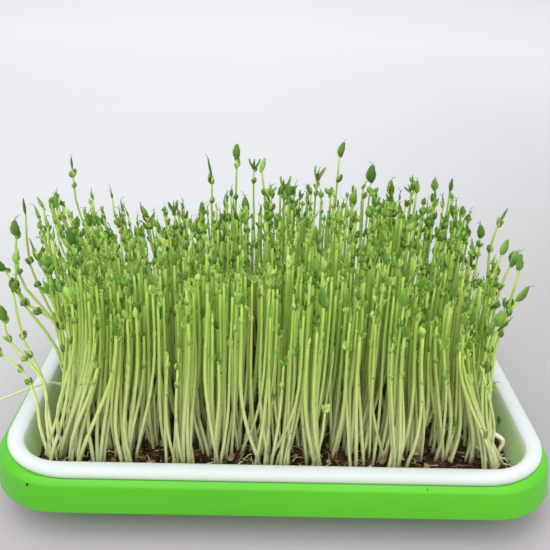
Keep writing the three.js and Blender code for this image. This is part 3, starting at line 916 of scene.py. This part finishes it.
def growShoot(pile, shoot, leaves):
    shoot["bend"] = drawBend()
    steps = units["stem"]["steps"]
    heights = np.linspace(-shootPlan["rooted"], shoot["height"], steps + 1)
    line = stemLine(shoot, heights)
    places, sizes = zip(*shootPlan["radius"])
    radii = np.interp(np.linspace(0, 1, steps + 1), places, sizes) * drawFine(*shootPlan["radiusScale"])
    growth = np.clip(heights / shootPlan["greenHeight"], 0, 1)
    layTube(pile, "stem", line, radii, 0, growth, drawFine(0, 1) ** shootPlan["coolShare"])
    upward = np.array([0, 0, 1.0])
    growTip(pile, shoot, line[-1], unitLong(line[-1] - line[-2]))
    odds = shootPlan["nodeOdds"][shoot["leafy"]][leaves - 1]
    shares = [drawFine(*heightRange) for heightRange in (shootPlan["leafNode"], nodePlan["secondNode"])]
    for share, part in zip(shares, (1, 0.5)):
        if drawFine(0, 1) < part * odds:
            place = stemLine(shoot, np.array([0, share * shoot["height"]]))[1]
            growNode(pile, shoot, place, upward, leaves)
            shoot["turn"] += nodePlan["turnBetween"]
    for share in nodePlan["scales"]:
        if drawFine(0, 1) < nodePlan["scaleOdds"]:
            share += drawFine(*nodePlan["scaleStray"])
            spot = stemLine(shoot, np.array([0, share * shoot["height"]]))[1]
            outward = direction(drawFine(*anyWay), 0)
            layLeaf(pile, "stipule", spot, outward * nodePlan["scaleLean"] + upward, -outward,
                    nodePlan["scaleSize"], 1, drawFine(*nodePlan["scaleTint"]))


def pileToPiece(name, pile, nodes, materials):
    mesh = bpy.data.meshes.new(name)
    points = np.concatenate(pile["points"]) * mm
    mesh.from_pydata(points.tolist(), [], pile["faces"])
    for layer in ("growth", "tint", "rib"):
        attribute = mesh.attributes.new(layer, "FLOAT", "POINT")
        attribute.data.foreach_set("value", np.concatenate(pile[layer]).astype(np.float32))
    mesh.shade_smooth()
    mesh.update()
    piece = bpy.data.objects.new(name, mesh)
    bpy.context.scene.collection.objects.link(piece)
    finishPiece(piece, nodes, materials)
    mesh.polygons.foreach_set("material_index", pile["slots"])


lonePlan = {  # shoots that stand apart from the rest, by the clump that they grow from
    "radius": (1.3, 0.7),
    "tint": (0.2, 0.9),
    "turn": (-0.6, 0.6),
    "tallFrom": 80,
    "bud": (10, 14),
    "lowBud": 5,
    "leaf": (6, 8),
    "leafHalf": (2.2, 2.8),
    "nodes": (0.66, 0.84),  # shares of the length at which leaves leave it
    "paths": {
        "shoots_1_1": [
            [(-135, -86, 26), (-137, -85, 34), (-140, -83, 50), (-141, -80, 66), (-149, -73, 80), (-162, -68, 88)],
            [(-133, -88, 26), (-135, -85, 34), (-136, -81, 56), (-137, -75, 76), (-156, -67, 96), (-159, -65, 110)],
            [(-131, -86, 26), (-133, -84, 40), (-135, -80, 59), (-139, -73, 79), (-149, -66, 98), (-153, -61, 127)],
            [(-138, -84, 26), (-137, -84, 34), (-129, -83, 56), (-122, -80, 84), (-122, -78, 112), (-128, -76, 134)],
            [(-134, -91, 26), (-132, -90, 36), (-124, -87, 60), (-118, -84, 90), (-117, -82, 120), (-119, -81, 138)],
        ],
        "shoots_2_1": [
            [(-131, -35, 26), (-133, -38, 45), (-135, -42, 68), (-137, -44, 98), (-152, -41, 107), (-164, -40, 130)],
            [(-133, -25, 26), (-136, -26, 45), (-141, -27, 84), (-160, -21, 108), (-164, -20, 126), (-162, -20, 144)],
            [(-133, -21, 26), (-138, -17, 45), (-145, -12, 73), (-151, -9, 88), (-161, -6, 118), (-160, -5, 152)],
            [(-130, -45, 26), (-133, -46, 50), (-137, -46, 80), (-148, -45, 100), (-157, -43, 116), (-156, -43, 136)],
        ],
        "shoots_4_5": [
            [(-3, 86, 26), (-4, 87, 60), (-9, 90, 100), (-10, 92, 130), (-13, 94, 154)],
        ],
        "shoots_1_9": [
            [(131, -71, 26), (130, -69, 45), (127, -62, 74), (126, -57, 106), (128, -53, 131), (132, -52, 147)],
            [(132, -81, 26), (130, -78, 45), (127, -72, 67), (127, -67, 100), (131, -63, 124), (135, -60, 148)],
            [(128, -86, 26), (126, -84, 45), (122, -78, 71), (123, -74, 96), (129, -70, 123), (134, -68, 132)],
            [(130, -52, 26), (132, -51, 38), (134, -50, 50), (136, -50, 60)],
            [(134, -88, 26), (133, -88, 33), (125, -86, 52), (120, -83, 78), (118, -80, 104), (121, -78, 121)],
            [(129, -92, 26), (127, -91, 38), (120, -88, 60), (116, -86, 86), (115, -84, 108), (116, -83, 118)],
            [(137, -83, 26), (136, -83, 32), (128, -81, 47), (122, -79, 68), (120, -77, 96), (123, -75, 116)],
        ],
        "shoots_2_9": [
            [(129, -28, 26), (130, -28, 45), (131, -34, 79), (130, -31, 110), (127, -28, 144), (130, -27, 163)],
            [(128, -52, 26), (126, -52, 50), (124, -50, 74), (124, -46, 102), (126, -42, 129), (130, -40, 148)],
        ],
    },
}
palePlan = {  # one thin shoot without a bud that lies out over the left rim
    "clump": "shoots_2_1",
    "path": [(-130.3, -29, 25), (-131, -29.3, 31), (-136, -31, 41), (-145, -38, 49), (-154, -46, 51.5),
             (-165, -54, 50.5), (-176, -63, 50)],
    "radius": (1.3, 0.6),
    "tint": 0.3,
    "greenTo": 0.1,
}


def smoothPath(points, count):  # evenly spaced points on a rounded line through the given ones
    points = np.array(points, float)
    ends = np.vstack([2 * points[0] - points[1], points, 2 * points[-1] - points[-2]])
    places = np.linspace(0, len(points) - 1, count)
    line = []
    for place in places:
        i = min(int(place), len(points) - 2)
        t = place - i
        a, b, c, d = ends[i:i + 4]
        line.append(0.5 * (2 * b + (c - a) * t + (2 * a - 5 * b + 4 * c - d) * t * t
                           + (3 * b - a - 3 * c + d) * t ** 3))
    return np.array(line)


def growLone(pile, path):
    steps = units["stem"]["steps"]
    line = smoothPath(path, steps + 1)
    growth = np.clip((line[:, 2] - clumpPlan["soilTop"]) / shootPlan["greenHeight"], 0, 1)
    radii = np.linspace(*lonePlan["radius"], steps + 1)
    layTube(pile, "stem", line, radii, 0, growth, drawFine(*lonePlan["tint"]))
    tall = line[-1][2] > lonePlan["tallFrom"]
    shoot = {
        "turn": drawFine(*lonePlan["turn"]) - math.pi / 2,  # its flat side about to the front
        "bud": drawFine(*lonePlan["bud"]) if tall else lonePlan["lowBud"],
        "leaf": drawFine(*lonePlan["leaf"]),
        "leafHalf": drawFine(*lonePlan["leafHalf"]),
        "leafy": True,
    }
    growTip(pile, shoot, line[-1], unitLong(line[-1] - line[-2]))
    for share in lonePlan["nodes"] if tall else ():
        spot = round(share * steps)
        growNode(pile, shoot, line[spot], unitLong(line[spot + 1] - line[spot]), 2)
        shoot["turn"] += nodePlan["turnBetween"]


def growPale(pile):
    steps = units["stem"]["steps"]
    line = smoothPath(palePlan["path"], steps + 1)
    layTube(pile, "stem", line, np.linspace(*palePlan["radius"], steps + 1), 0,
            np.linspace(0, palePlan["greenTo"], steps + 1), palePlan["tint"])


clumps = [(row, planClump(column, row)) for row in range(clumpPlan["rows"]) for column in range(clumpPlan["columns"])]
shootCount = 0
for row, clump in clumps:
    pile = newPile()
    extras = planExtra(clump, row)
    for shoot in clump["shoots"]:
        shoot["leafy"] = drawLeafy(row, shoot["top"][0]) or "kind" in shoot
        growShoot(pile, shoot, 2)
    for shoot in extras:
        growShoot(pile, shoot, 1)
    for path in lonePlan["paths"].get(clump["name"], []):
        growLone(pile, path)
    if clump["name"] == palePlan["clump"]:
        growPale(pile)
    shootCount += len(clump["shoots"]) + len(extras)
    pileToPiece("pea_" + clump["name"], pile, [clump["name"]], [stemGreen, leafGreen])
print("shoots grown", shootCount)


# Litter on the soil: seed coats, crumbs of coir, dry fibres and pale roots that came up between the stems

litterPlan = {
    "seed": 5521,
    "ground": (136, 95),  # half the soil's length and depth that it lies on
    "corner": 14,  # the radius of the ground's corners, and how what falls past them is drawn in
    "inward": 0.93,
    "frontShare": 0.6,  # how much of it lies in the strip along the front
    "frontDepth": 20,
    "coats": 110,
    "coatSize": (2.8, 5.6),
    "coatShares": (0.8, 1.1, 1),
    "coatLift": 0.6,
    "coatRise": (-0.2, 0.5),
    "coatFacing": 0.7,
    "crumbs": 620,
    "crumbSize": (1.2, 4),
    "crumbShares": ((0.6, 1), (0.5, 0.9)),
    "crumbRise": (0.2, 1),
    "crumbTint": (0, 0.8),
    "tuft": (137, -79, 29),  # the thick tuft of roots in the front right corner
    "tuftStray": ((-7, 2), (-6, 5)),
    "droop": 0.5,
    "thickRoots": [  # radius and paths: one that arches down into the corner, and thinner ones beside it
        (1.6, [[(123, -76, 54), (130, -75, 46), (137, -75, 41.5), (139.3, -75.5, 38), (137, -76, 31),
                (135, -77, 26)]]),
        (1.1, [[(120, -76, 47), (128, -76, 39), (133, -77, 32), (136, -78, 26)],
               [(117, -82, 42), (124, -82, 37), (129, -82, 31), (131, -83, 25)],
               [(126, -74, 40), (131, -76, 36), (135, -80, 31), (137, -82, 25)]]),
    ],
    "thickTint": 0.8,
    "thinned": 0.75,  # share of the radius at their tips
    "bareSeed": ((132, -66, 32), (2.4, 0.5), (0.6, 0), (9, 9, 11), 0.05),  # foot, along, facing, size and tint
    "wallLeaf": ((145.2, -51, 32.5), (0, 0.5, 0.8), (-0.94, 0, 0.35), (5, 4, 6), 0.35),
    "rimSpecks": [(-137.7, -119.3, 37.7), (83.3, -119.7, 39.7)],
    "speckSize": (1.8, 1.3, 1.6),
}
threadPlan = {  # how many there are, how deep they start, how steeply they rise, and what each one is like
    "fibres": {"count": 380, "sunk": 0, "rise": (0.05, 0.5), "length": (4, 13), "curl": (0.2, 2),
               "radius": (0.35, 0.15), "tint": (0.2, 1)},
    "roots": {"count": 230, "sunk": 1, "rise": (0.3, 0.95), "length": (5, 12), "curl": (1.5, 3.8),
              "radius": (0.55, 0.2), "tint": (0.2, 1)},
    "tuft": {"count": 26, "sunk": 0, "rise": (0.2, 0.8), "length": (5, 10), "curl": (1, 3),
             "radius": (0.8, 0.3), "tint": (0, 0.7)},
}
drawLitter = makeDraw(litterPlan["seed"])


def groundAt(x, y):  # the soil's height under a point
    hit, place, _, _ = bed.ray_cast((x * mm, y * mm, 0.06), (0, 0, -1))
    return place.z / mm if hit else clumpPlan["soilTop"]


def litterSpot():
    halfX, halfY = litterPlan["ground"]
    x = drawLitter(-halfX, halfX)
    near = drawLitter(0, 1) < litterPlan["frontShare"]
    y = drawLitter(-halfY, litterPlan["frontDepth"] - halfY) if near else drawLitter(-halfY, halfY)
    corner = litterPlan["corner"]
    over = max(abs(x) - halfX + corner, 0) ** 2 + max(abs(y) - halfY + corner, 0) ** 2
    if over > corner ** 2:
        x *= litterPlan["inward"]
        y *= litterPlan["inward"]
    return np.array([x, y, groundAt(x, y)])


def tuftSpot():
    x, y, z = litterPlan["tuft"]
    strayX, strayY = litterPlan["tuftStray"]
    return np.array([x + drawLitter(*strayX), y + drawLitter(*strayY), z])


def layCurl(pile, foot, heading, length, curl, radii, tint):
    steps = units["thread"]["steps"]
    side = direction(drawLitter(*anyWay), 0)
    line = curledLine(foot, heading, length, side * curl / steps, [litterPlan["droop"] * curl / steps] * steps)
    layTube(pile, "thread", line, np.linspace(*radii, steps + 1), 0, np.zeros(steps + 1), tint)


def scatterThreads(pile, plan, drawSpot):
    for _ in range(plan["count"]):
        layCurl(pile, drawSpot() - (0, 0, plan["sunk"]), direction(drawLitter(*anyWay), drawLitter(*plan["rise"])),
                drawLitter(*plan["length"]), drawLitter(*plan["curl"]), plan["radius"], drawLitter(*plan["tint"]))


def crumbUnit():
    unit = readUnit(newShape(bpy.ops.mesh.primitive_ico_sphere_add, subdivisions=1, radius=0.5))
    unit["growth"] = unit["rib"] = np.zeros(len(unit["points"]))
    return unit


def seedCoats():
    pile = newPile()
    for _ in range(litterPlan["coats"]):
        along = direction(drawLitter(*anyWay), drawLitter(*litterPlan["coatRise"]))
        size = drawLitter(*litterPlan["coatSize"])
        spot = litterSpot() + (0, 0, litterPlan["coatLift"])
        layLeaf(pile, "stipule", spot, along, direction(drawLitter(*anyWay), litterPlan["coatFacing"]),
                np.array(litterPlan["coatShares"]) * size, 0, drawLitter(0, 1))
    foot, along, facing, size, tint = litterPlan["bareSeed"]
    layLeaf(pile, "bud", np.array(foot), direction(*along), direction(*facing), size, 0, tint)
    pileToPiece("pea_seed_coats", pile, [], [seedCoat])


def crumbsAndFibres():
    pile = newPile()
    units["crumb"] = crumbUnit()
    deep, high = litterPlan["crumbShares"]
    for _ in range(litterPlan["crumbs"]):
        size = drawLitter(*litterPlan["crumbSize"])
        layLeaf(pile, "crumb", litterSpot(), direction(drawLitter(*anyWay), drawLitter(*litterPlan["crumbRise"])),
                direction(drawLitter(*anyWay), 0), (size, size * drawLitter(*deep), size * drawLitter(*high)), 1,
                drawLitter(*litterPlan["crumbTint"]))
    scatterThreads(pile, threadPlan["fibres"], litterSpot)
    for place in litterPlan["rimSpecks"]:
        layLeaf(pile, "crumb", np.array(place), direction(0, 1), direction(0.5, 0), litterPlan["speckSize"], 1, 0.2)
    pileToPiece("coir_crumbs_and_fibres", pile, [], [fibre, coir])


def bareRoots():
    pile = newPile()
    steps = units["stem"]["steps"]
    scatterThreads(pile, threadPlan["roots"], litterSpot)
    scatterThreads(pile, threadPlan["tuft"], tuftSpot)
    for radius, paths in litterPlan["thickRoots"]:
        radii = np.linspace(radius, litterPlan["thinned"] * radius, steps + 1)
        for path in paths:
            line = smoothPath(path, steps + 1)
            layTube(pile, "stem", line, radii, 0, np.zeros(steps + 1), litterPlan["thickTint"])
    pileToPiece("bare_pea_roots", pile, [], [rootThread])


def fallenLeaf():
    pile = newPile()
    foot, along, facing, size, tint = litterPlan["wallLeaf"]
    layLeaf(pile, "leaflet", np.array(foot), np.array(along), np.array(facing), size, 0, tint)
    pileToPiece("fallen_pea_leaf", pile, [], [leafGreen])


fallenLeaf()
seedCoats()
crumbsAndFibres()
bareRoots()
print("litter scattered")


# Light, floor and camera

cameraView = {
    "place": (-12.24, -420.7, 313.5),
    "turn": 0.0231,  # radians, to the right, down and over
    "dip": 0.4464,
    "roll": -0.0347,
    "lens": 46.18,
}


def addCamera():
    turn, dip, roll = cameraView["turn"], cameraView["dip"], cameraView["roll"]
    forward = Vector((math.sin(turn) * math.cos(dip), math.cos(turn) * math.cos(dip), -math.sin(dip)))
    level = Vector((math.cos(turn), -math.sin(turn), 0))
    down = forward.cross(level)
    right = math.cos(roll) * level + math.sin(roll) * down
    up = math.sin(roll) * level - math.cos(roll) * down
    camera = bpy.data.cameras.new("camera")
    camera.lens = cameraView["lens"]
    camera.sensor_width = 36
    camera.clip_start = 0.01
    holder = bpy.data.objects.new("camera", camera)
    bpy.context.scene.collection.objects.link(holder)
    rows = zip(right, up, -forward, [place * mm for place in cameraView["place"]])
    holder.matrix_world = Matrix((*rows, (0, 0, 0, 1)))
    bpy.context.scene.camera = holder


lights = {  # place, size in metres and power in watts; the first four point at the tray
    "softboxLeft": ((-1.0, -0.6, 1.3), 1.4, 8, "ffffff"),
    "softboxTop": ((0.0, -0.5, 1.45), 1.5, 10, "fbfdff"),
    "softboxRight": ((1.1, -0.9, 0.8), 1.2, 3, "fffdfa"),
    "softboxFront": ((0.0, -1.3, 0.8), 1.0, 5, "ffffff"),
    "softboxBackdrop": ((0, 3.2, 2.2), 4.0, 19, "fbfcff"),
}
lightTargets = {"softboxBackdrop": (0, 3.0, 0)}
trayMiddle = (0, 0, 0.06)
roomLight = {"colour": "f2f4f7", "strength": 0.8}


def addLights():
    for name, (place, size, power, colour) in lights.items():
        light = bpy.data.lights.new(name, "AREA")
        light.size = size
        light.energy = power
        light.color = linear(colour)[:3]
        holder = bpy.data.objects.new(name, light)
        bpy.context.scene.collection.objects.link(holder)
        holder.location = place
        aim = Vector(lightTargets.get(name, trayMiddle)) - Vector(place)
        holder.rotation_euler = aim.to_track_quat("-Z", "Y").to_euler()
    world = bpy.data.worlds.new("softRoom")
    world.use_nodes = True
    world.node_tree.nodes["Background"].inputs["Color"].default_value = linear(roomLight["colour"])
    world.node_tree.nodes["Background"].inputs["Strength"].default_value = roomLight["strength"]
    bpy.context.scene.world = world


# The floor's tones get darker towards the front and its right side is dimmed: painted shade.
boardPlan = {
    "size": 24,
    "depth": (-0.3, 2.2),  # the stops below are shares of this stretch, from the front to the back
    "paleToneAndPaintedShade": [(0.05, "b3abb0"), (0.09, "bcb5b9"), (0.14, "c5c2c4"), (0.24, "d1d0d1"), (0.31, "d9d9db"),
              (0.41, "dedfe1"), (0.5, "e5e6e8"), (0.66, "edeef0"), (0.94, "f8f8f9")],
    "paintedShadeTone": "dfdcda",  # painted shade over it on the right, full from this far to the right
    "dimTo": 0.42,
    "paintedShadeShares": [(0.075, "000000"), (0.11, "ffffff"), (0.2, "ffffff"), (0.31, "cbcbcb"), (0.4, "9a9a9a"),
                  (0.7, "3f3f3f")],
}


def addFloor():
    # Painted floor boarding: plain, pale and matt, with painted shade that darkens it towards the front and to the
    # right.
    floor = newShape(bpy.ops.mesh.primitive_plane_add, size=boardPlan["size"])
    floor.name = "floor"
    material, place = newMaterial("paintedBoard")
    across, depth = [addNode(material, "SeparateXYZ", {"Vector": place}, axis) for axis in "XY"]
    front, back = boardPlan["depth"]
    near = addNode(material, "MapRange", [depth, front, back])
    aside = addNode(material, "MapRange", [across, 0, boardPlan["dimTo"]])
    boardAndShade, beside = [addNode(material, "ValToRGB", {"Fac": near}, stops=boardPlan[part])
                     for part in ("paleToneAndPaintedShade", "paintedShadeShares")]
    dim = addNode(material, "Math", [aside, beside], operation="MULTIPLY")
    toned = addNode(material, "Mix", {"Factor": dim, "A": boardAndShade, "B": linear(boardPlan["paintedShadeTone"])},
                    "Result", data_type="RGBA", blend_type="MULTIPLY")
    floor.data.materials.append(fillShader(material, {
        "Base Color": toned, "Roughness": 0.85, "Specular IOR Level": 0.2}))


addCamera()
addLights()
addFloor()
bpy.context.scene.view_settings.view_transform = "Standard"
